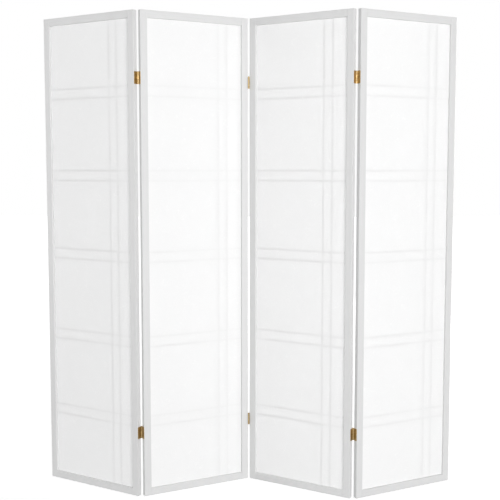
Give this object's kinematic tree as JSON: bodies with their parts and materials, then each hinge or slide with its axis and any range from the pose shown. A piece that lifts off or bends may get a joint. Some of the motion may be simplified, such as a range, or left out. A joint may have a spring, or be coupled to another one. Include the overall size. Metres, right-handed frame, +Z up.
{
  "type": "folding shoji screen",
  "caption": "Free-standing folding screen of hinged wooden panels, each with translucent paper over a lattice of paired bars; folds flat or stands in a zigzag.",
  "frame": {"origin": "on the floor, in the middle of the standing screen's outline", "axes": "+X along the zigzag run from panel 1 to panel 4, +Y from the papered side to the lattice side, +Z up"},
  "size_m": [1.565, 0.234, 1.784],
  "materials": {
    "white_wood": "satin white paint on softwood",
    "paper": "laminated rice paper, matt and translucent",
    "dowel_wood": "bare beech",
    "brass": "plated brass, slightly dull"
  },
  "bodies": {
    "panel_1": {"panel_1_left_stile": "white_wood", "panel_1_right_stile": "white_wood", "panel_1_top_rail": "white_wood", "panel_1_bottom_rail": "white_wood", "panel_1_cross_bars": "white_wood", "panel_1_upright_bars": "white_wood", "panel_1_paper": "paper", "panel_1_dowels": "dowel_wood", "panel_1_screws": "brass", "hinge_12_lower_left_leaf": "brass", "hinge_12_lower_pin": "brass", "hinge_12_upper_left_leaf": "brass", "hinge_12_upper_pin": "brass"},
    "panel_2": {"panel_2_left_stile": "white_wood", "panel_2_right_stile": "white_wood", "panel_2_top_rail": "white_wood", "panel_2_bottom_rail": "white_wood", "panel_2_cross_bars": "white_wood", "panel_2_upright_bars": "white_wood", "panel_2_paper": "paper", "panel_2_dowels": "dowel_wood", "panel_2_screws": "brass", "hinge_12_lower_right_leaf": "brass", "hinge_12_upper_right_leaf": "brass", "hinge_23_lower_left_leaf": "brass", "hinge_23_lower_pin": "brass", "hinge_23_upper_left_leaf": "brass", "hinge_23_upper_pin": "brass"},
    "panel_3": {"panel_3_left_stile": "white_wood", "panel_3_right_stile": "white_wood", "panel_3_top_rail": "white_wood", "panel_3_bottom_rail": "white_wood", "panel_3_cross_bars": "white_wood", "panel_3_upright_bars": "white_wood", "panel_3_paper": "paper", "panel_3_dowels": "dowel_wood", "panel_3_screws": "brass", "hinge_23_lower_right_leaf": "brass", "hinge_23_upper_right_leaf": "brass", "hinge_34_lower_left_leaf": "brass", "hinge_34_lower_pin": "brass", "hinge_34_upper_left_leaf": "brass", "hinge_34_upper_pin": "brass"},
    "panel_4": {"panel_4_left_stile": "white_wood", "panel_4_right_stile": "white_wood", "panel_4_top_rail": "white_wood", "panel_4_bottom_rail": "white_wood", "panel_4_cross_bars": "white_wood", "panel_4_upright_bars": "white_wood", "panel_4_paper": "paper", "panel_4_dowels": "dowel_wood", "panel_4_screws": "brass", "hinge_34_lower_right_leaf": "brass", "hinge_34_upper_right_leaf": "brass"}
  },
  "joints": [
    {"name": "fold_12", "type": "hinge", "parent": "panel_1", "child": "panel_2", "pos_m": [-0.39288, -0.09875, 0.892], "axis": [0, 0, 1], "range_deg": [-60, 120]},
    {"name": "fold_23", "type": "hinge", "parent": "panel_2", "child": "panel_3", "pos_m": [0, 0.09875, 0.892], "axis": [0, 0, -1], "range_deg": [-60, 120]},
    {"name": "fold_34", "type": "hinge", "parent": "panel_3", "child": "panel_4", "pos_m": [0.39288, -0.09875, 0.892], "axis": [0, 0, 1], "range_deg": [-60, 120]}
  ]
}
